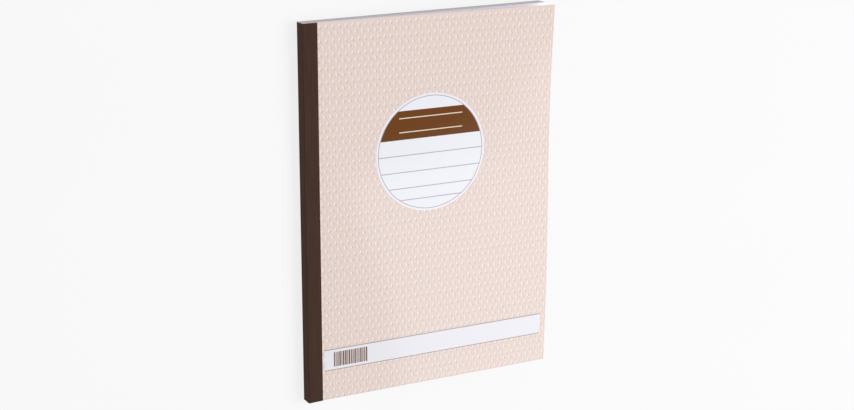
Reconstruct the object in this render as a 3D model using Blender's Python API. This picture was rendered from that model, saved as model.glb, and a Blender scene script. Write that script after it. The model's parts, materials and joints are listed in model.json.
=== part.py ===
"""Carbonless account book: A4 pad of two-part sets, stapled to a grey back board,
with a card front cover and a cloth tape round the spine.

The book lies on its back board. X runs from the spine to the fore edge, Y from the
foot to the head and Z up through the front cover. The front cover stands slightly
ajar. Every sheet and the cover turn about one crease line beside the spine tape.
"""
import math

import bmesh
import bpy

MM = 0.001

# Trimmed format, measured from the spine edge of the sheets.
PAGE_W = 210.0 * MM
PAGE_H = 297.0 * MM

# Papers, card and board.
SHEET_T = 0.075 * MM
COVER_T = 0.45 * MM
BOARD_T = 0.90 * MM
SHIELD_T = 0.30 * MM
SHIELD_INSET = 5.0 * MM
SINGLE_SETS = 2
SHEAVES = 12
SHEETS_IN_SHEAF = 8

# Cloth tape round the spine, and the glue film behind it.
TAPE_T = 0.25 * MM
TAPE_LAP = 12.0 * MM
GLUE_T = 0.30 * MM
CORNER_STEPS = 6

# Flat-wire staples: width across the spine, thickness, crown length and clinch.
STAPLES = 3
WIRE_W = 0.70 * MM
WIRE_T = 0.25 * MM
WIRE_BEND = 0.15 * MM
CROWN = 13.0 * MM
CLINCH = 4.5 * MM
STAPLE_X = 6.0 * MM
STAPLE_END = 43.0 * MM
BEND_STEPS = 4

# Fits.
BOND = 0.05 * MM
SHEET_GAP = 0.02 * MM
CREASE = 0.15 * MM
HINGE_GAP = 0.30 * MM
LAY_FLAT = 0.20 * MM
PUNCH = 0.05 * MM

# How far the front cover stands open at rest.
AJAR = math.radians(3.2)

# Derived positions, with x from the spine edge of the sheets and z from the table.
TAPE_IN = 2 * BOND + GLUE_T
TAPE_OUT = TAPE_IN + TAPE_T
TAPE_EDGE = TAPE_LAP - TAPE_OUT
HINGE_X = TAPE_EDGE + HINGE_GAP
STUB_X = HINGE_X - CREASE
LEAF_X = HINGE_X + CREASE
SHIFT_X = (TAPE_OUT - PAGE_W) / 2
HALF_H = PAGE_H / 2


def stack():
    """Heights of every sheet, sheaf, shield and the cover, from the board up."""
    rows = []
    z = BOARD_T + SHEET_GAP
    for n in range(SHEAVES, 0, -1):
        top = z + SHEETS_IN_SHEAF * SHEET_T
        rows.append((f"sheaf_{n:02d}", f"sheaf_stub_{n:02d}", z, top))
        z = top + SHEET_GAP
    for n in range(SINGLE_SETS, 0, -1):
        for kind in ("copy", "original"):
            rows.append((f"{kind}_sheet_{n}", f"{kind}_stub_{n}", z, z + SHEET_T))
            z += SHEET_T + SHEET_GAP
        if n == SINGLE_SETS:
            rows.append(("writing_shield", None, z, z + SHIELD_T))
            z += SHIELD_T + SHEET_GAP
    rows.append(("front_cover", "front_cover_margin", z, z + COVER_T))
    return rows


ROWS = stack()
COVER_TOP = ROWS[-1][3]
SHEETS_TOP = ROWS[-2][3]
TAPE_TOP = COVER_TOP + BOND + TAPE_T
REBATE = TAPE_T + BOND
HINGE_Z = (COVER_TOP + TAPE_TOP + LAY_FLAT) / 2
HINGE = (HINGE_X + SHIFT_X, 0.0, HINGE_Z)


def material(name, hex_colour, rough):
    """Plain Principled material from an sRGB hex colour."""
    mat = bpy.data.materials.new(name)
    mat.use_nodes = True
    shader = mat.node_tree.nodes["Principled BSDF"]
    srgb = [int(hex_colour[i:i + 2], 16) / 255 for i in (1, 3, 5)]
    linear = [c / 12.92 if c <= 0.04045 else ((c + 0.055) / 1.055) ** 2.4 for c in srgb]
    shader.inputs["Base Color"].default_value = (*linear, 1.0)
    shader.inputs["Roughness"].default_value = rough
    mat.diffuse_color = (*linear, 1.0)
    return mat


def add_object(name, bm, mat, origin=(0.0, 0.0, 0.0)):
    """Object from a bmesh in frame coordinates, with its own origin."""
    bmesh.ops.translate(bm, verts=bm.verts, vec=[-c for c in origin])
    bmesh.ops.recalc_face_normals(bm, faces=bm.faces)
    mesh = bpy.data.meshes.new(name)
    bm.to_mesh(mesh)
    bm.free()
    if mat:
        mesh.materials.append(mat)
    obj = bpy.data.objects.new(name, mesh)
    obj.location = origin
    bpy.context.scene.collection.objects.link(obj)
    return obj


def add_prism(bm, outline, place, start, end):
    """Closed prism: a 2-D outline placed at two stations and joined by side walls."""
    low = [bm.verts.new(place(a, b, start)) for a, b in outline]
    high = [bm.verts.new(place(a, b, end)) for a, b in outline]
    bm.faces.new(low[::-1])
    bm.faces.new(high)
    for i in range(len(outline)):
        j = (i + 1) % len(outline)
        bm.faces.new((low[i], low[j], high[j], high[i]))


def along_y(x, z, y):
    """An outline across the book, run along the spine."""
    return (x + SHIFT_X, y, z)


def along_x(y, z, x):
    """An outline along the spine, run across the book."""
    return (x + SHIFT_X, y, z)


def rectangle(a0, b0, a1, b1):
    return [(a0, b0), (a1, b0), (a1, b1), (a0, b1)]


def slab(name, x0, x1, z0, z1, mat, half=HALF_H, origin=(0.0, 0.0, 0.0)):
    """Flat sheet, card or board across the book."""
    bm = bmesh.new()
    add_prism(bm, rectangle(x0, z0, x1, z1), along_y, -half, half)
    return add_object(name, bm, mat, origin)


def arc(a, b, radius, start, end, steps):
    """Points of an arc about (a, b) between two angles in degrees."""
    turn = [math.radians(start + (end - start) * i / steps) for i in range(steps + 1)]
    return [(a + radius * math.cos(t), b + radius * math.sin(t)) for t in turn]


def tape_outline():
    """Cloth wrapped round the spine: front lap, spine, back lap, soft folds between."""
    r_in = TAPE_IN
    r_out = r_in + TAPE_T
    z_in_low = TAPE_T
    z_in_high = TAPE_TOP - TAPE_T
    outer = [(TAPE_EDGE, TAPE_TOP)]
    outer += arc(0.0, TAPE_TOP - r_out, r_out, 90, 180, CORNER_STEPS)
    outer += arc(0.0, r_out, r_out, 180, 270, CORNER_STEPS)
    outer += [(TAPE_EDGE, 0.0)]
    inner = [(TAPE_EDGE, z_in_low)]
    inner += arc(0.0, z_in_low + r_in, r_in, 270, 180, CORNER_STEPS)
    inner += arc(0.0, z_in_high - r_in, r_in, 180, 90, CORNER_STEPS)
    inner += [(TAPE_EDGE, z_in_high)]
    return outer + inner


def staple_outline(middle, grow):
    """Bent flat wire in its own plane: crown, two legs, two clinched ends, grown by a fit."""
    top = COVER_TOP + grow
    low = REBATE - grow
    half = CROWN / 2 + grow
    thick = WIRE_T + 2 * grow
    r_in = WIRE_BEND - grow
    r_out = r_in + thick
    tip = CROWN / 2 - CLINCH - grow
    side = [(tip, low + thick), (tip, low)]
    side += arc(half - r_out, low + r_out, r_out, 270, 360, BEND_STEPS)
    side += arc(half - r_out, top - r_out, r_out, 0, 90, BEND_STEPS)
    back = arc(half - r_out, top - r_out, r_in, 90, 0, BEND_STEPS)
    back += arc(half - r_out, low + r_out, r_in, 360, 270, BEND_STEPS)
    mirror = [(-y, z) for y, z in side[::-1]]
    mirror_back = [(-y, z) for y, z in back[::-1]]
    outline = side + mirror + mirror_back + back
    return [(middle + y, z) for y, z in outline]


def staple_middles():
    """Middles of the crowns, evenly spaced between the foot and the head."""
    pitch = (PAGE_H - 2 * STAPLE_END) / (STAPLES - 1)
    return [STAPLE_END - HALF_H + n * pitch for n in range(STAPLES)]


def add_staple(bm, middle, grow):
    half = WIRE_W / 2 + grow
    add_prism(bm, staple_outline(middle, grow), along_x, STAPLE_X - half, STAPLE_X + half)


def cutter(name, bm):
    obj = add_object(name, bm, None)
    obj.hide_render = True
    obj.display_type = "WIRE"
    return obj


def cut(obj, tool):
    """Take a cutter's shape out of a piece."""
    mod = obj.modifiers.new(tool.name, "BOOLEAN")
    mod.operation = "DIFFERENCE"
    mod.solver = "EXACT"
    mod.object = tool


def build():
    for old in list(bpy.data.objects):
        bpy.data.objects.remove(old, do_unlink=True)

    # Room that the staples take in the cover margin and the board.
    bm = bmesh.new()
    for middle in staple_middles():
        add_staple(bm, middle, PUNCH)
    staple_room = cutter("staple_room", bm)

    # Holes that the staple legs punch through the stubs.
    bm = bmesh.new()
    for middle in staple_middles():
        for side in (-1, 1):
            leg = middle + side * (CROWN - WIRE_T) / 2
            reach = WIRE_T / 2 + PUNCH
            half = WIRE_W / 2 + PUNCH
            hole = rectangle(leg - reach, 0.0, leg + reach, TAPE_TOP)
            add_prism(bm, hole, along_x, STAPLE_X - half, STAPLE_X + half)
    leg_holes = cutter("leg_holes", bm)

    # Back board: stiff grey board, stepped under the back lap of the tape.
    grey = material("grey_board", "#A9A6A4", 0.9)
    outline = [(0.0, REBATE), (HINGE_X, REBATE), (HINGE_X, 0.0)]
    outline += [(PAGE_W, 0.0), (PAGE_W, BOARD_T), (0.0, BOARD_T)]
    bm = bmesh.new()
    add_prism(bm, outline, along_y, -HALF_H, HALF_H)
    cut(add_object("back_board", bm, grey), staple_room)

    # Front cover: printed card panel, turned open about the crease.
    card = material("printed_card", "#E5D4CC", 0.45)
    _, _, low, high = ROWS[-1]
    panel = slab("front_cover", LEAF_X, PAGE_W, low, high, card, origin=HINGE)
    panel.rotation_euler = (0.0, -AJAR, 0.0)
    margin_card = material("margin_card", "#DCCAC2", 0.6)
    cut(slab("front_cover_margin", 0.0, STUB_X, low, high, margin_card), staple_room)

    # Sheets: a stub bound under the tape and a leaf that turns about the crease.
    white = material("white_carbonless_paper", "#F4F1EC", 0.85)
    pink = material("pink_carbonless_paper", "#F3D5D8", 0.85)
    mixed = material("white_and_pink_paper", "#F1E7E6", 0.85)
    shield_card = material("shield_card", "#C9B08E", 0.8)
    for leaf, stub, low, high in ROWS[:-1]:
        if stub is None:
            half = HALF_H - SHIELD_INSET
            slab(leaf, LEAF_X + SHIELD_INSET, PAGE_W - SHIELD_INSET, low, high, shield_card, half)
            continue
        paper = white if "original" in leaf else pink if "copy" in leaf else mixed
        slab(leaf, LEAF_X, PAGE_W, low, high, paper, origin=HINGE)
        cut(slab(stub, 0.0, STUB_X, low, high, paper), leg_holes)

    # Spine glue: thin film on the spine edges of the sheets.
    glue = material("padding_glue", "#D8CBA8", 0.5)
    slab("spine_glue", -BOND - GLUE_T, -BOND, BOARD_T, SHEETS_TOP, glue)

    # Spine tape: brown book cloth from the front lap to the back lap.
    cloth = material("brown_book_cloth", "#45332B", 0.9)
    bm = bmesh.new()
    add_prism(bm, tape_outline(), along_y, -HALF_H, HALF_H)
    add_object("spine_tape", bm, cloth)

    # Staples: crown under the front lap, legs through every stub, clinched below.
    steel = material("galvanised_wire", "#B4B6B8", 0.35)
    steel.node_tree.nodes["Principled BSDF"].inputs["Metallic"].default_value = 1.0
    for name, middle in zip(("staple_foot", "staple_middle", "staple_head"), staple_middles()):
        bm = bmesh.new()
        add_staple(bm, middle, 0.0)
        add_object(name, bm, steel)


build()
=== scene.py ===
import json
from functools import partial

import bpy
import numpy as np
from mathutils import Matrix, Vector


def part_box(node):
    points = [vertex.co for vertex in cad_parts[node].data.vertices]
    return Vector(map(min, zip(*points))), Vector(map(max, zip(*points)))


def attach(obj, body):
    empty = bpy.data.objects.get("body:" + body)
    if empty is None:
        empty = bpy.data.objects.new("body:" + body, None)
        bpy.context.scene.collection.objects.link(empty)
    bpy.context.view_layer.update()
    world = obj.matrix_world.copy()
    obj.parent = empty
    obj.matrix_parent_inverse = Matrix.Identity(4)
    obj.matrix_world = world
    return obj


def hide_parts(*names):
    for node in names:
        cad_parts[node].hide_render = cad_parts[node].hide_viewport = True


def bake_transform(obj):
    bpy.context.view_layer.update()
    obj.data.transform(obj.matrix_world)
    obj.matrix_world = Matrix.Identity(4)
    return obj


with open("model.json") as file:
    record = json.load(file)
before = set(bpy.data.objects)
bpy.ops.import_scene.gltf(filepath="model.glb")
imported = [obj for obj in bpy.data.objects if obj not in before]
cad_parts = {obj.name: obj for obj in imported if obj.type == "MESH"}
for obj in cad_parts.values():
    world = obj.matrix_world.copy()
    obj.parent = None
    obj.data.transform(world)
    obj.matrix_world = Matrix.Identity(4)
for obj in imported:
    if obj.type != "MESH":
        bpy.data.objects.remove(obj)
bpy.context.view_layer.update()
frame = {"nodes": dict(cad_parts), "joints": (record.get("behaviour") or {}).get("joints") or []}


# Camera, as in the picture: from above the spine side and a little towards the head, turned so
# that the spine stands upright at the left. The book lies on its back board.
def look(place, at, roll=0.0):
    """Matrix of a camera or lamp: it looks from place to at with its side axis level, and is
    then turned by roll, in degrees, about the line of view."""
    back = np.subtract(place, at) / np.linalg.norm(np.subtract(place, at))
    level = np.cross((0.0, 0.0, 1.0), back)
    level /= np.linalg.norm(level)
    rise = np.cross(back, level)
    cos, sin = np.cos(np.radians(roll)), np.sin(np.radians(roll))
    turn = np.eye(4)
    turn[:3] = np.column_stack((cos * level + sin * rise, cos * rise - sin * level, back, place))
    return Matrix(turn.tolist())


azimuth, elevation, distance = np.radians(239.02), np.radians(56.511), 1.2169
cover_middle = np.array((-0.0016, -0.0023, 0.0107))
away = np.array((np.sin(azimuth) * np.cos(elevation), -np.cos(azimuth) * np.cos(elevation),
                 np.sin(elevation)))
camera_data = bpy.data.cameras.new("camera")
camera_data.lens = 65.77
camera_data.sensor_width = 36.0
camera = bpy.data.objects.new("camera", camera_data)
camera.matrix_world = look(cover_middle + distance * away, cover_middle, roll=116.87)
bpy.context.scene.collection.objects.link(camera)
bpy.context.scene.camera = camera
bpy.context.scene.view_settings.view_transform = "Standard"


# Floor: a wide light table of opal acrylic, lit from below so that the shade round the book
# stays soft. It is backdrop, not part of the book, and lies a fifth of a millimetre below it.
def linear(hex_colour):
    """sRGB hex to linear RGBA: each channel through the sRGB curve."""
    channels = np.array([int(hex_colour[i:i + 2], 16) for i in (1, 3, 5)]) / 255
    low, high = channels / 12.92, ((channels + 0.055) / 1.055) ** 2.4
    return (*np.where(channels <= 0.04045, low, high).tolist(), 1.0)


def add(mat, kind, inputs, out=0, **settings):
    """Adds a shader node, or takes the material's own shader, sets it up and fills its inputs,
    each with a value or a link. A Mix of colours has its share at 0 and its colours at 6 and 7."""
    nodes = mat.node_tree.nodes
    node = nodes[kind] if kind == "Principled BSDF" else nodes.new("ShaderNode" + kind)
    for key, value in settings.items():
        setattr(node, key, value)
    for key, value in inputs.items() if isinstance(inputs, dict) else enumerate(inputs):
        if isinstance(value, bpy.types.NodeSocket):
            mat.node_tree.links.new(value, node.inputs[key])
        else:
            node.inputs[key].default_value = value
    return node.outputs[out]


def new_material(name):
    """A fresh material with its shader, ready for nodes."""
    mat = bpy.data.materials.new(name)
    mat.use_nodes = True
    return mat


# Opal acrylic: an even, matt white that glows, with a cloudiness of about 110 mm only just there.
opal = new_material("opal_acrylic")
spot = add(opal, "TexCoord", {}, out="Object")
cloud = add(opal, "TexNoise", {"Vector": spot, "Scale": 1000 / 110, "Detail": 3.0})
milk = add(opal, "Mix", {0: cloud, 6: linear("#6A6A6A"), 7: linear("#6D6D6D")},
           out=2, data_type="RGBA")
add(opal, "Principled BSDF",
    {"Base Color": milk, "Roughness": 0.95, "Specular IOR Level": 0.1,
     "Emission Color": linear("#FFFFFF"), "Emission Strength": 0.785})
floor_half, floor_z = 6.0, -0.0002
floor_mesh = bpy.data.meshes.new("floor")
floor_mesh.from_pydata([(a * floor_half, b * floor_half, floor_z)
                        for a, b in ((-1, -1), (1, -1), (1, 1), (-1, 1))], [], [(0, 1, 2, 3)])
floor_mesh.materials.append(opal)
floor = bpy.data.objects.new("floor", floor_mesh)
bpy.context.scene.collection.objects.link(floor)

# Light: an even white surround, a large soft box high beyond the fore edge, and a smaller, weaker
# one towards the foot whose reflection lies across the laminated cover.
world = bpy.data.worlds.new("studio")
bpy.context.scene.world = world
world.use_nodes = True
world.node_tree.nodes["Background"].inputs["Color"].default_value = linear("#FFFFFF")
world.node_tree.nodes["Background"].inputs["Strength"].default_value = 0.61
for name, stand, roll, sides, watts in (
        ("key_box", (2.2, 0.29, 2.3), 0.0, (1.8, 1.8), 58.4),
        ("sheen_box", (1.13, -0.79, 1.7), -44.0, (0.95, 0.78), 7.7)):
    lamp = bpy.data.lights.new(name, "AREA")
    lamp.energy = watts
    lamp.shape = "RECTANGLE"
    lamp.size, lamp.size_y = sides
    box = bpy.data.objects.new(name, lamp)
    box.matrix_world = look(stand, (0.0, 0.0, 0.0), roll)
    bpy.context.scene.collection.objects.link(box)


# Back board: stiff grey board pressed from waste paper, cut flush with the sheets and stepped
# under the back lap of the tape. The staples clinch into it, and the solid itself is shown.
def dress(node, mat):
    """Puts a finish on a CAD node in place of its plain one."""
    slots = frame["nodes"][node].data.materials
    slots.clear()
    slots.append(mat)


# Grey board: matt and mottled over about 25 mm, with darker fibres 3.3 mm long.
grey_board = new_material("grey_board")
spot = add(grey_board, "TexCoord", {}, out="Object")
along = add(grey_board, "Mapping", {"Vector": spot, "Scale": (1000 / 3.3, 1000 / 1.1, 1000 / 1.1)})
fleck = add(grey_board, "TexNoise", {"Vector": along, "Scale": 1.0, "Detail": 2.0})
dark = add(grey_board, "MapRange", {0: fleck, 1: 0.55, 2: 0.75})
cloud = add(grey_board, "TexNoise", {"Vector": spot, "Scale": 1000 / 25, "Detail": 4.0})
pulp = add(grey_board, "Mix", {0: cloud, 6: linear("#9F9C9A"), 7: linear("#B4B1AE")},
           out=2, data_type="RGBA")
skin = add(grey_board, "Mix", {0: dark, 6: pulp, 7: linear("#7D7874")}, out=2, data_type="RGBA")
dull = add(grey_board, "MapRange", {0: cloud, 3: 0.86, 4: 0.97})
nap = add(grey_board, "Bump", {"Height": fleck, "Strength": 0.25, "Distance": 0.0002})
add(grey_board, "Principled BSDF",
    {"Base Color": skin, "Roughness": dull, "Normal": nap, "Specular IOR Level": 0.2})
dress("back_board", grey_board)

# Sheaves: the sets below the first two, four sets to a sheaf, each set a white original on a
# pink copy. Every sheet runs from the spine edge to the fore edge, with its points close
# together through the crease beside the tape.
hinge = next(j for j in frame["joints"] if j["name"] == "cover_open")["pos_m"]
spine_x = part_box("sheaf_stub_01")[0].x
fore_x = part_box("sheaf_01")[1].x
half_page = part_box("sheaf_01")[1].y


def stations(bend, far=9):
    """Places across a leaf: close together through the bend, and far apart beyond it."""
    in_bend, before_bend = 25, 0.002
    near = hinge[0] + bend * np.linspace(0.0, 1.0, in_bend)
    beyond = np.linspace(near[-1], fore_x, far)[1:]
    return np.concatenate(([spine_x, hinge[0] - before_bend], near, beyond))


def grid(*columns):
    """Points of a grid: each column of numbers is spread over all the rows and columns."""
    return np.stack(np.broadcast_arrays(*columns), -1)


def put_leaf(name, face, back, flat, skins, rings=((0, 1), (0, 0)), inward=0.0):
    """Closed leaf or stack of leaves: a face and a back, each a grid of points, and a wall of
    rings between them round the four edges. A ring lies at a share of the way from the face
    to the back, set in by its own trim along inward. flat is the grid's UV map in metres, and
    skins are the materials of the face, the back and each row of the wall, face side first."""
    depth, trim = (np.array(ring, float)[:, None, None, None] for ring in rings)
    layers = (face + depth * (back - face) + trim * inward).reshape(len(depth), -1, 3)
    cell = np.arange(face.shape[0] * face.shape[1]).reshape(face.shape[:2])
    rim = np.concatenate((cell[:-1, 0], cell[-1, :-1], cell[:0:-1, -1], cell[0, :0:-1]))
    between = len(depth) - 2
    points = np.concatenate((layers[0], layers[-1], layers[1:-1, rim].reshape(-1, 3)))
    plan = flat.reshape(-1, 2)
    plan = np.concatenate((plan, plan, np.tile(plan[rim], (between, 1))))
    top = np.stack((cell[:-1, :-1], cell[1:, :-1], cell[1:, 1:], cell[:-1, 1:]), -1).reshape(-1, 4)
    middle = 2 * cell.size + np.arange(between * len(rim)).reshape(-1, len(rim))
    rows = np.concatenate((rim[None], middle, rim[None] + cell.size))
    ahead = np.roll(rows, -1, axis=1)
    wall = np.stack((rows[1:], ahead[1:], ahead[:-1], rows[:-1]), -1).reshape(-1, 4)
    quads = np.concatenate((top, top[:, ::-1] + cell.size, wall))
    mesh = bpy.data.meshes.new(name)
    mesh.from_pydata(points.tolist(), [], quads.tolist())
    finishes = list(dict.fromkeys(skins))
    for mat in finishes:
        mesh.materials.append(mat)
    counts = [len(top), len(top)] + [len(rim)] * (between + 1)
    kind = np.repeat([finishes.index(mat) for mat in skins], counts)
    mesh.polygons.foreach_set("material_index", kind.astype(np.int32))
    corner = np.empty(len(mesh.loops), np.int32)
    mesh.loops.foreach_get("vertex_index", corner)
    uv = mesh.uv_layers.new(name="flat").data
    uv.foreach_set("uv", plan[corner].astype(np.float32).ravel())
    # The bends are shaded smooth, and the cut edges, sharper than this angle in radians, crisp.
    sharp_angle = 0.6
    mesh.shade_smooth()
    mesh.set_sharp_from_angle(angle=sharp_angle)
    leaf = bpy.data.objects.new(name, mesh)
    bpy.context.scene.collection.objects.link(leaf)
    return leaf


def patch(lay, place, x, half_wide, y, half_high):
    """Mask of a printed rectangle: 1 where x and y are both within reach of its middle."""
    across = lay("Math", (place[0], x, half_wide), operation="COMPARE")
    upright = lay("Math", (place[1], y, half_high), operation="COMPARE")
    return lay("Math", (across, upright), operation="MULTIPLY")


def carbonless_paper(name, paper, fibre, ink, tear_line):
    """Uncoated 55 g carbonless paper with an account form printed on it: pale and matt, with a
    fibre mottle of 2 mm and fine rules. Places are in mm from the spine edge and the foot."""
    mat = new_material(name)
    lay = partial(add, mat)
    flat = lay("UVMap", {}, uv_map="flat")
    mm = lay("VectorMath", {0: flat, "Scale": 1000.0}, operation="SCALE")
    place = lay("SeparateXYZ", (mm,)).node.outputs
    mottle = lay("TexNoise", {"Vector": mm, "Scale": 1 / 2, "Detail": 4.0})
    colour = lay("Mix", {0: mottle, 6: linear(paper), 7: linear(fibre)}, out=2, data_type="RGBA")
    # Rows 8 mm apart over the ruled field: how far y is from the nearest multiple of 8.
    row_pitch, row_half, rule_half, frame_half = 8.0, 0.14, 0.2, 0.3
    left, right, low, high, head = 26.0, 198.0, 16.0, 256.0, 267.0
    middle, reach = (left + right) / 2, (right - left) / 2
    step = lay("Math", (place[1], row_pitch / 2), operation="PINGPONG")
    rows = lay("Math", (step, row_half), operation="LESS_THAN")
    field = patch(lay, place, middle, reach, (low + high) / 2, (high - low) / 2)
    rules = lay("Math", (rows, field), operation="MULTIPLY")
    # Column rules, heavier rules for the heading and the totals, and a pair of boxes above.
    column_places = (left, 44.0, 110.0, 132.0, 154.0, 176.0, right)
    columns = [(x, rule_half, (low + head) / 2, (head - low) / 2) for x in column_places]
    frames = [(middle, reach, y, frame_half) for y in (low, low + row_pitch, high, head)]
    box_left, box_y, box_half = 154.0, 279.0, 5.0
    box_middle, box_reach = (box_left + right) / 2, (right - box_left) / 2
    boxes = [(x, rule_half, box_y, box_half) for x in (box_left, box_middle, right)]
    boxes += [(box_middle, box_reach, y, rule_half) for y in (box_y - box_half, box_y + box_half)]
    for rule in columns + frames + boxes:
        rules = lay("Math", (rules, patch(lay, place, *rule)), operation="MAXIMUM")
    colour = lay("Mix", {0: rules, 6: colour, 7: linear(ink)}, out=2, data_type="RGBA")
    if tear_line:
        # Perforation 3 mm beyond the crease: cuts 1.2 mm long, one every 2 mm. The cuts are not
        # open;
        # they are painted grey, as painted shade in the slits.
        tear_x, tear_half, cut_pitch, cut_long = 14.7, 0.2, 2.0, 1.2
        beat = lay("Math", (place[1], cut_pitch / 2), operation="PINGPONG")
        cuts = lay("Math", (beat, cut_long / 2), operation="LESS_THAN")
        line = lay("Math", (place[0], tear_x, tear_half), operation="COMPARE")
        painted_slit_shade = lay("Math", (cuts, line), operation="MULTIPLY")
        colour = lay("Mix", {0: painted_slit_shade, 6: colour, 7: linear("#A8A29C")}, out=2, data_type="RGBA")
    # Paper tooth of 0.5 mm, a few times coarser than the real fibres so that it shows.
    tooth = lay("TexNoise", {"Vector": mm, "Scale": 1 / 0.5, "Detail": 3.0})
    dull = lay("MapRange", {0: tooth, 3: 0.82, 4: 0.9})
    nap = lay("Bump", {"Height": tooth, "Strength": 0.12, "Distance": 0.0001})
    lay("Principled BSDF",
        {"Base Color": colour, "Roughness": dull, "Normal": nap, "Specular IOR Level": 0.25})
    return mat


def plain_paper(name, paper, fibre):
    """Unprinted paper or card, back or cut edge: pale and matt, with a fibre mottle of 2.5 mm."""
    mat = new_material(name)
    flat = add(mat, "UVMap", {}, uv_map="flat")
    mottle = add(mat, "TexNoise", {"Vector": flat, "Scale": 1000 / 2.5, "Detail": 4.0})
    colour = add(mat, "Mix", {0: mottle, 6: linear(paper), 7: linear(fibre)},
                 out=2, data_type="RGBA")
    dull = add(mat, "MapRange", {0: mottle, 3: 0.86, 4: 0.94})
    nap = add(mat, "Bump", {"Height": mottle, "Strength": 0.1, "Distance": 0.0001})
    add(mat, "Principled BSDF",
        {"Base Color": colour, "Roughness": dull, "Normal": nap, "Specular IOR Level": 0.2})
    return mat


white_form = carbonless_paper("white_carbonless_paper", "#F7F4FA", "#F1EEF4", "#B2A5A6", True)
# Cut edges: the same papers painted greyer, as painted shade of the gaps between the sheets.
white_shaded_edge = plain_paper("white_painted_shade_edge", "#D8D8DB", "#C7C7CA")
pink_back = plain_paper("pink_carbonless_back", "#F2DCE0", "#ECD3D8")
pink_shaded_edge = plain_paper("pink_painted_shade_edge", "#D4CCD2", "#C4BBC2")
sheaves, sheaf_bend = 12, 0.030
sheets_in_sheaf, paper_share, trim_error = 8, 0.8, 0.00018
sheaf_x = stations(sheaf_bend)[:, None]
sheaf_y = np.array((-half_page, 0.0, half_page))
# Two rings to a sheet, at its face and its back, so that the cut edges show every sheet.
depth = np.add.outer(np.arange(sheets_in_sheaf), (0.0, paper_share)).ravel() / sheets_in_sheaf
depth[-1] = 1.0
edges = ([white_shaded_edge] * 2 + [pink_shaded_edge] * 2) * (sheets_in_sheaf // 2)
inward = grid(-1.0 * (sheaf_x == fore_x), -sheaf_y / half_page, 0.0)
chance = np.random.default_rng(seed=7)
for number in range(1, sheaves + 1):
    node = f"sheaf_{number:02d}"
    low, high = (corner.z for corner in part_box(node))
    trim = np.repeat(chance.uniform(0.0, trim_error, sheets_in_sheaf), 2)
    sheaf = put_leaf(node + "_sheets", grid(sheaf_x, sheaf_y, high), grid(sheaf_x, sheaf_y, low),
                     grid(sheaf_x - spine_x, sheaf_y + half_page),
                     [white_form, pink_back] + edges[:-1], rings=(depth, trim), inward=inward)
    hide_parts(node, f"sheaf_stub_{number:02d}")
    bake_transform(sheaf)

# First two sets: single sheets, a white original with a tear line over a pink copy. Their points
# crowd close at the tape, and the top ones ride up a little towards the fore edge.
white_back = plain_paper("white_carbonless_back", "#F3F1F5", "#ECEAEE")
pink_form = carbonless_paper("pink_carbonless_paper", "#F4DFE2", "#F0D8DC", "#B5969A", False)
looks = {"original": ("white_paper", (white_form, white_back, white_shaded_edge)),
         "copy": ("pink_paper", (pink_form, pink_back, pink_shaded_edge))}
sheet_bend, sheet_rows = 0.0045, 15
sway, sway_rate, sway_start = 0.35, 2.6, 0.6
sheet_x = stations(sheet_bend)[:, None]
sheet_y = np.linspace(-half_page, half_page, sheet_rows)
way_out = np.clip((sheet_x - hinge[0]) / (fore_x - hinge[0]), 0, 1)
for kind, number, rise in (("copy", 2, 0.0), ("original", 2, 0.0), ("copy", 1, 0.0004),
                           ("original", 1, 0.0012)):
    node = f"{kind}_sheet_{number}"
    slot, skins = looks[kind]
    low, high = (corner.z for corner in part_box(node))
    # The lift grows with the square of the way out and varies slowly from foot to head.
    lift = rise * way_out**2 * (1 + sway * np.sin(sway_rate * sheet_y / half_page + sway_start))
    sheet = put_leaf(node + "_paper", grid(sheet_x, sheet_y, high + lift),
                     grid(sheet_x, sheet_y, low + lift),
                     grid(sheet_x - spine_x, sheet_y + half_page), skins)
    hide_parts(node, f"{kind}_stub_{number}")
    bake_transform(sheet)

# Writing shield: a loose card that lies under the set in use and keeps the writing off the
# next one. Plain kraft-lined board, cut square, and the solid itself is shown.
# Kraft card: warm brown, a little glazed, with dark fibres 4 mm long and a 33 mm cloudiness.
kraft = new_material("kraft_card")
spot = add(kraft, "TexCoord", {}, out="Object")
along = add(kraft, "Mapping", {"Vector": spot, "Scale": (1000 / 1.1, 1000 / 4.0, 1000 / 1.1)})
fibre = add(kraft, "TexNoise", {"Vector": along, "Scale": 1.0, "Detail": 4.0})
dark = add(kraft, "MapRange", {0: fibre, 1: 0.5, 2: 0.8, 4: 0.45})
cloud = add(kraft, "TexNoise", {"Vector": spot, "Scale": 1000 / 33, "Detail": 3.0})
pulp = add(kraft, "Mix", {0: cloud, 6: linear("#C3A884"), 7: linear("#CDB493")},
           out=2, data_type="RGBA")
skin = add(kraft, "Mix", {0: dark, 6: pulp, 7: linear("#94764F")}, out=2, data_type="RGBA")
dull = add(kraft, "MapRange", {0: cloud, 3: 0.74, 4: 0.88})
nap = add(kraft, "Bump", {"Height": fibre, "Strength": 0.15, "Distance": 0.0001})
add(kraft, "Principled BSDF",
    {"Base Color": skin, "Roughness": dull, "Normal": nap, "Specular IOR Level": 0.25})
dress("writing_shield", kraft)

# Spine glue and staples: a brushed film of padding glue that holds the spine edges together, and
# three flat wires stapled through the binding margin. The tape hides all but the film's ends.
# Padding glue: cream and half glossy, with brush streaks 8 mm long.
glue = new_material("padding_glue")
spot = add(glue, "TexCoord", {}, out="Object")
along = add(glue, "Mapping", {"Vector": spot, "Scale": (1000 / 1.0, 1000 / 8.0, 1000 / 1.0)})
streak = add(glue, "TexNoise", {"Vector": along, "Scale": 1.0, "Detail": 2.0})
skin = add(glue, "Mix", {0: streak, 6: linear("#E2D9C2"), 7: linear("#D3C7A9")},
           out=2, data_type="RGBA")
dull = add(glue, "MapRange", {0: streak, 3: 0.34, 4: 0.48})
brushed = add(glue, "Bump", {"Height": streak, "Strength": 0.3, "Distance": 0.0001})
add(glue, "Principled BSDF", {"Base Color": skin, "Roughness": dull, "Normal": brushed})
dress("spine_glue", glue)
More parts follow.
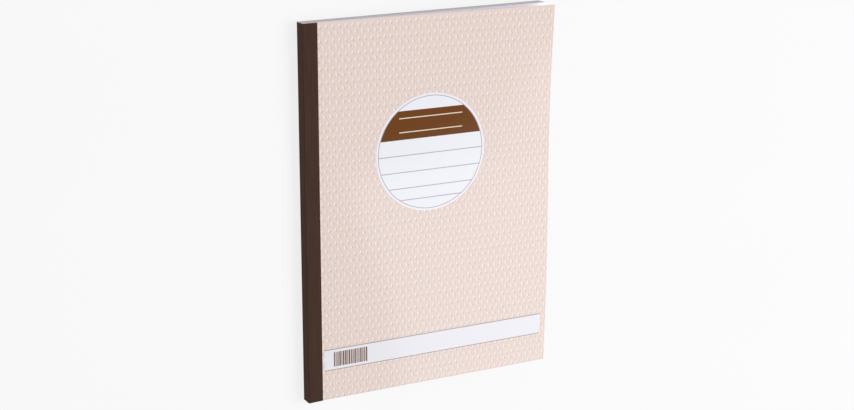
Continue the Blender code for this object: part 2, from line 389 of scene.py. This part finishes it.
# Galvanised wire: grey metal, bright and dull by turns over a zinc spangle of 1 mm.
wire = new_material("galvanised_wire")
spot = add(wire, "TexCoord", {}, out="Object")
zinc = add(wire, "TexNoise", {"Vector": spot, "Scale": 1000 / 1.1, "Detail": 3.0})
skin = add(wire, "Mix", {0: zinc, 6: linear("#A9ABAD"), 7: linear("#C6C8CA")},
           out=2, data_type="RGBA")
dull = add(wire, "MapRange", {0: zinc, 3: 0.28, 4: 0.45})
add(wire, "Principled BSDF", {"Base Color": skin, "Roughness": dull, "Metallic": 1.0})
for position in ("head", "middle", "foot"):
    dress(f"staple_{position}", wire)

# Front cover: 0.45 mm card, printed and laminated outside and plain inside. It is stapled under
# the tape, creased beside it, and stands ajar with its head corner curling up.
cover_bend, ajar, cover_rows = 0.003, np.radians(3.2), 61
wave_height, wave_start, wave_span, wave_growth = 0.0009, -0.05, 0.9, 1.5
curl_height, curl_start = 0.0020, 0.25
cover_x = stations(cover_bend, far=41)
foot_to_head = np.linspace(-half_page, half_page, cover_rows)


def cover_surface(height):
    """One side of the card, at its height when shut. Each point turns about the crease by the
    ajar angle times a smooth step over the bend. It then lifts by a slow wave along the fore
    edge, and by a curl that grows with the square of the way to the head corner."""
    dx, dz = cover_x - hinge[0], height - hinge[2]
    reach = np.clip(dx / cover_bend, 0, 1)
    turn = ajar * reach**2 * (3 - 2 * reach)
    bent_x = hinge[0] + dx * np.cos(turn) - dz * np.sin(turn)
    bent_z = hinge[2] + dx * np.sin(turn) + dz * np.cos(turn)
    outward = np.clip(dx / (fore_x - hinge[0]), 0, 1)[:, None]
    up = foot_to_head / half_page
    wave = wave_height * np.sin(np.pi * (wave_start - up) / wave_span) * outward**wave_growth
    to_head = np.clip((up - curl_start) / (1 - curl_start), 0, 1)
    curl = curl_height * (to_head * outward) ** 2
    return grid(bent_x[:, None], foot_to_head, bent_z[:, None] + wave + curl)


# Laminated print: a pale blush with a fine all-over grain under a soft-gloss film. Places are
# in mm from the spine edge and the foot.
laminated_print = new_material("laminated_print")
lay = partial(add, laminated_print)
flat = lay("UVMap", {}, uv_map="flat")
mm = lay("VectorMath", {0: flat, "Scale": 1000.0}, operation="SCALE")
place = lay("SeparateXYZ", (mm,)).node.outputs

# Grains: slim white seeds 2.8 mm long with a grey shadow on one side, in rows 5.2 mm apart,
# each row stepped by half a pitch and leaning the other way. Each fades from its core to its rim.
pitch, lean = 5.2, 0.3
slimness, taper, shortness = 1.2, 0.26, 0.56
seed_rim, grain_core, grain_ink = 1.0, 0.55, 0.61
shadow_middle, shadow_core, shadow_ink = (1.05, -0.35, 0.0), 0.5, 0.35
row = lay("Math", (lay("Math", (place[1], pitch), operation="DIVIDE"),), operation="FLOOR")
odd = lay("Math", (row, 2.0), operation="FLOORED_MODULO")
stepped = lay("Math", (odd, pitch / 2, place[0]), operation="MULTIPLY_ADD")
cell = lay("CombineXYZ", (stepped, place[1]))
cell = lay("VectorMath", (cell, (pitch, pitch, 1.0)), operation="MODULO")
cell = lay("VectorMath", (cell, (pitch / 2, pitch / 2, 0.0)), operation="SUBTRACT")
angle = lay("Math", (odd, -2 * lean, lean), operation="MULTIPLY_ADD")
seed = lay("VectorRotate", {"Vector": cell, "Angle": angle}, rotation_type="Z_AXIS")
wide, long = lay("SeparateXYZ", (seed,)).node.outputs[:2]
slim = lay("Math", (long, taper, slimness), operation="MULTIPLY_ADD")
drop = lay("CombineXYZ", (lay("Math", (wide, slim), operation="MULTIPLY"),
                          lay("Math", (long, shortness), operation="MULTIPLY")))
within = lay("VectorMath", (drop,), out="Value", operation="LENGTH")
grain = lay("MapRange", {0: within, 1: seed_rim, 2: grain_core, 4: grain_ink})
beside = lay("VectorMath", (drop, shadow_middle), out="Value", operation="DISTANCE")
shadow = lay("MapRange", {0: beside, 1: seed_rim, 2: shadow_core, 4: shadow_ink})
tint = lay("TexNoise", {"Vector": mm, "Scale": 1 / 1.7, "Detail": 2.0})

# Round label, 93 mm across: white inside a thin ring, with a brown title band that bears two
# plain rules, and four rules to write on.
label_x, label_y, label_r, ring_r, ring_half = 104.3, 189.7, 46.5, 44.6, 0.3
band_y, band_half, title_half, title_up, hairline = 213.0, 11.25, 27.0, 5.5, 0.35
writing_rules = (189.25, 176.0, 163.25, 153.75)
from_middle = lay("VectorMath", (mm, (label_x, label_y, 0.0)), out="Value", operation="DISTANCE")
label = lay("Math", (from_middle, label_r), operation="LESS_THAN")
inside = lay("Math", (from_middle, ring_r), operation="LESS_THAN")
band = patch(lay, place, label_x, ring_r, band_y, band_half)
titles = [patch(lay, place, label_x, title_half, band_y + up, hairline)
          for up in (title_up, -title_up)]
rules = [lay("Math", (from_middle, ring_r, ring_half), operation="COMPARE")]
rules += [lay("Math", (inside, patch(lay, place, label_x, ring_r, y_rule, hairline)),
              operation="MULTIPLY") for y_rule in writing_rules]

# White strip near the foot, from just beyond the tape to 5 mm short of the fore edge, ruled along
# both sides, with a block of plain bars: two beating waves give bars 0.4 to 1.4 mm wide.
strip_x, strip_half, strip_y, strip_high, edge_half = 109.2, 96.0, 32.6, 8.5, 0.35
bars_x, bars_half, bars_high, bar_rates, bar_level = 35.2, 14.2, 6.0, (3.9, 6.4), -0.45
strip = patch(lay, place, strip_x, strip_half, strip_y, strip_high)
strip_edges = [patch(lay, place, strip_x, strip_half, strip_y + up, edge_half)
               for up in (strip_high, -strip_high)]
waves = [lay("Math", (lay("Math", (place[0], rate), operation="MULTIPLY"),), operation="SINE")
         for rate in bar_rates]
beat = lay("Math", tuple(waves), operation="ADD")
bars = lay("Math", (lay("Math", (beat, bar_level), operation="GREATER_THAN"),
                    patch(lay, place, bars_x, bars_half, strip_y, bars_high)),
           operation="MULTIPLY")

# The inks in the order in which they are laid on the blush ground.
colour = linear("#E3D3CC")
inks = [("#D7C6BE", tint), ("#B39F96", shadow), ("#F5EAE6", grain), ("#E5E5EC", label),
        ("#673700", lay("Math", (inside, band), operation="MULTIPLY"))]
inks += [("#EBDCC8", mask) for mask in titles] + [("#A8A3AC", mask) for mask in rules]
inks += [("#E1E0E7", strip)] + [("#A3938F", mask) for mask in strip_edges] + [("#7A5B4A", bars)]
for ink, mask in inks:
    colour = lay("Mix", {0: mask, 6: colour, 7: linear(ink)}, out=2, data_type="RGBA")
raised = lay("Bump", {"Height": grain, "Strength": 0.1, "Distance": 0.0001})
gloss = lay("MapRange", {0: tint, 3: 0.5, 4: 0.6})
lay("Principled BSDF",
    {"Base Color": colour, "Roughness": gloss, "Normal": raised, "Specular IOR Level": 0.05,
     "Coat Weight": 0.4, "Coat Roughness": 0.085})
white_card = plain_paper("white_cover_card", "#F2F0F3", "#EBE9EC")
low, high = (corner.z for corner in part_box("front_cover_margin"))
cover = put_leaf("front_cover_card", cover_surface(high), cover_surface(low),
                 grid(cover_x[:, None] - spine_x, foot_to_head + half_page),
                 (laminated_print, white_card, white_card))
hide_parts("front_cover", "front_cover_margin")
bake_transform(cover)

# Spine tape: dark brown book cloth, a woven strip glued round the spine from the front cover to
# the step in the back board, with a soft fold at each corner.
cloth_t, turn_steps = 0.00025, 9
tape_low, tape_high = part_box("spine_tape")
fold = spine_x - tape_low.x


def tape_surface(inset):
    """Cloth set in from its outside: the back lap, a quarter turn at each corner of the spine,
    and the front lap, carried from foot to head. Each turn is an arc about the spine edge."""
    turn = np.linspace(0.0, np.pi / 2, turn_steps)
    radius = fold - inset
    lap = [tape_high.x]
    across = np.concatenate((lap, spine_x - radius * np.sin(turn),
                             spine_x - radius * np.cos(turn), lap))
    up = np.concatenate(([tape_low.z + inset], tape_low.z + fold - radius * np.cos(turn),
                         tape_high.z - fold + radius * np.sin(turn), [tape_high.z - inset]))
    return grid(across[:, None], foot_to_head, up[:, None])


# Book cloth: a matt dark weave, streaked along the spine by uneven yarn. The threads are
# 0.9 mm apart, about twice the real spacing, so that they show. A wave repeats every 0.314.
cloth = new_material("brown_book_cloth")
flat = add(cloth, "UVMap", {}, uv_map="flat")
threads = [add(cloth, "TexWave", {"Vector": flat, "Scale": 314 / 0.9, "Distortion": 0.6,
                                  "Detail": 2.0}, bands_direction=way) for way in ("X", "Y")]
weave = add(cloth, "Math", tuple(threads), operation="ADD")
along = add(cloth, "Mapping", {"Vector": flat, "Scale": (1000 / 1.1, 1000 / 40, 1.0)})
slub = add(cloth, "TexNoise", {"Vector": along, "Scale": 1.0, "Detail": 3.0})
yarn = add(cloth, "Mix", {0: slub, 6: linear("#36251D"), 7: linear("#513A30")},
           out=2, data_type="RGBA")
# Painted shade: the hollows between the threads are darkened towards near black.
hollow_shade = add(cloth, "MapRange", {0: weave, 1: 0.2, 2: 1.6, 3: 0.25, 4: 0.0})
skin = add(cloth, "Mix", {0: hollow_shade, 6: yarn, 7: linear("#2A1D17")}, out=2, data_type="RGBA")
dull = add(cloth, "MapRange", {0: slub, 3: 0.84, 4: 0.95})
nap = add(cloth, "Bump", {"Height": weave, "Strength": 0.3, "Distance": 0.0002})
add(cloth, "Principled BSDF",
    {"Base Color": skin, "Roughness": dull, "Normal": nap, "Specular IOR Level": 0.12})
outside = tape_surface(0.0)
steps = np.linalg.norm(np.diff(outside[:, 0], axis=0), axis=1)
round_spine = np.concatenate(([0.0], np.cumsum(steps)))[:, None]
tape = put_leaf("spine_tape_cloth", outside, tape_surface(cloth_t),
                grid(round_spine, foot_to_head + half_page), (cloth, cloth, cloth))
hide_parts("spine_tape")
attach(tape, "binding")
